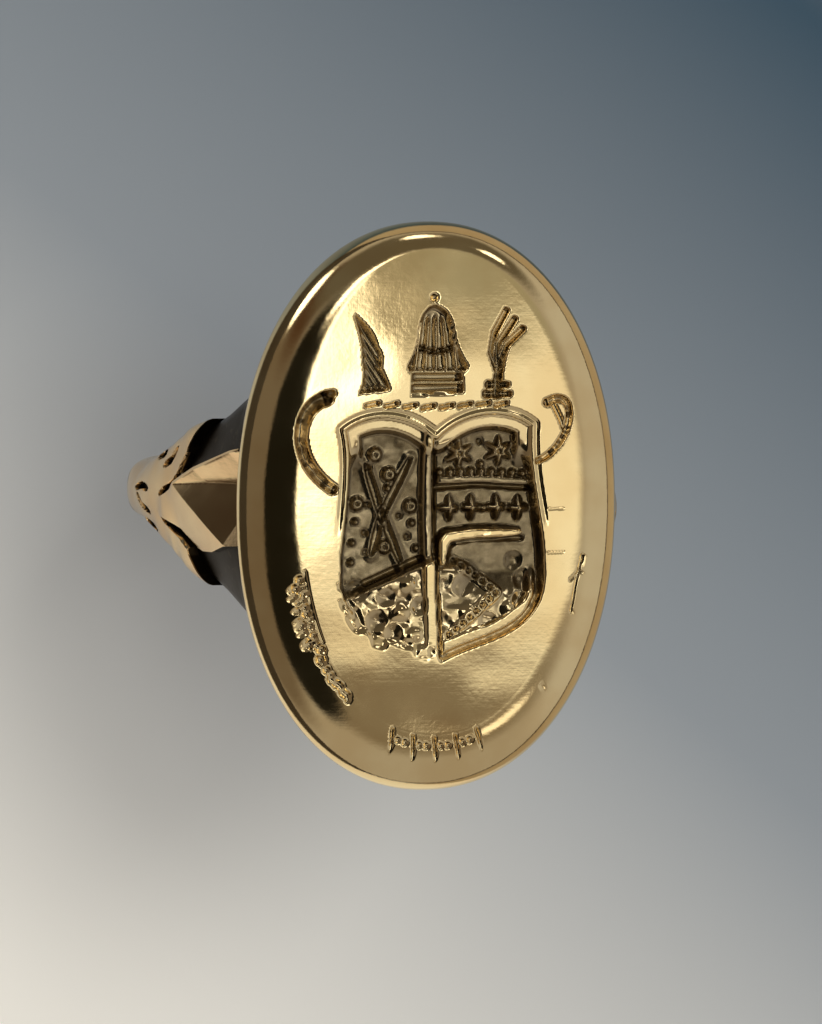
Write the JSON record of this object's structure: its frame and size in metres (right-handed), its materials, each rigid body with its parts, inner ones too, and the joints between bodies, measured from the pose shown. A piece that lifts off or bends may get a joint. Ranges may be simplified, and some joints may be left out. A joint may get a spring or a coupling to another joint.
{
  "type": "signet ring",
  "caption": "Heavy gold signet ring with a large oval face along the finger, a cut heraldic seal and carved three-way shoulders.",
  "frame": {"origin": "centre of the finger hole, on the hoop's middle plane", "axes": "+Z straight out of the seal face, +Y along the finger towards the top of the seal, +X to the right of the upright seal"},
  "size_m": [0.0186, 0.0206, 0.0205],
  "materials": {
    "face_gold": "polished yellow gold, worn, with darkened engraving",
    "body_gold": "polished yellow gold with fine wear scratches",
    "shoulder_gold": "carved yellow gold, soft satin on the carved leaves"
  },
  "bodies": {
    "root": {"signet_plate": "face_gold", "bezel_base": "body_gold", "shank": "body_gold", "left_knuckle": "shoulder_gold", "left_upper_arm": "shoulder_gold", "left_centre_leaf": "shoulder_gold", "left_lower_arm": "shoulder_gold", "right_knuckle": "shoulder_gold", "right_upper_arm": "shoulder_gold", "right_centre_leaf": "shoulder_gold", "right_lower_arm": "shoulder_gold"}
  },
  "joints": []
}
